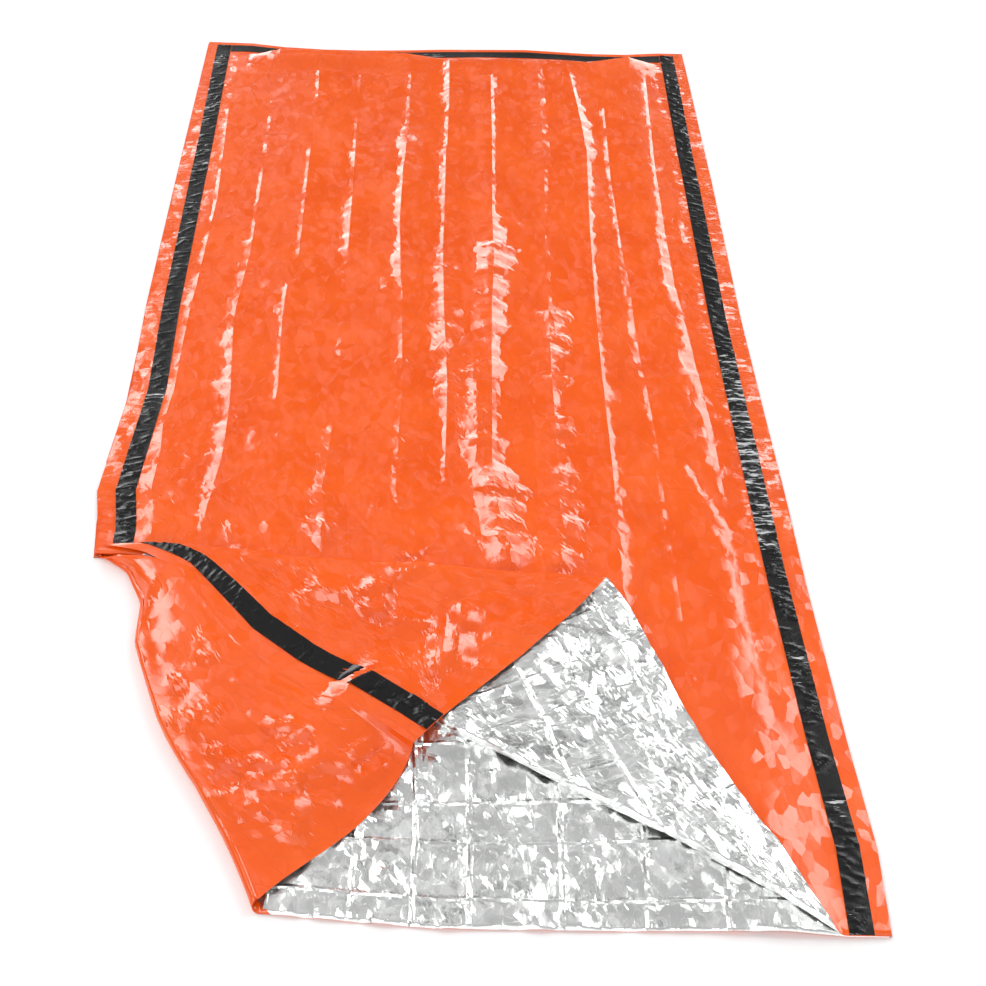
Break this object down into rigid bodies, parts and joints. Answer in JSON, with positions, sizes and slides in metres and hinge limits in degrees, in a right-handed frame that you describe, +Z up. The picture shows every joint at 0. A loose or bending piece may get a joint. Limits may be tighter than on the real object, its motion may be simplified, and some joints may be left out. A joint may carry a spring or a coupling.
{
  "type": "emergency sleeping bag",
  "caption": "Flat emergency sleeping bag of shiny orange film with a silver inside, taped along its sides and foot, with one corner of its mouth turned over.",
  "frame": {"origin": "middle of the footprint, on the surface that the bag lies on", "axes": "+Y along the bag from its mouth to its foot, +X to the right seen from the mouth, +Z up"},
  "size_m": [1.0164, 2, 0.047],
  "materials": {
    "film": "crinkled glossy film, orange outside and aluminised silver inside",
    "tape": "thin black glossy tape, finely wrinkled across"
  },
  "bodies": {
    "root": {"lower_panel": "film", "upper_panel": "film", "left_tape": "tape", "right_tape": "tape", "foot_tape": "tape"}
  },
  "joints": []
}
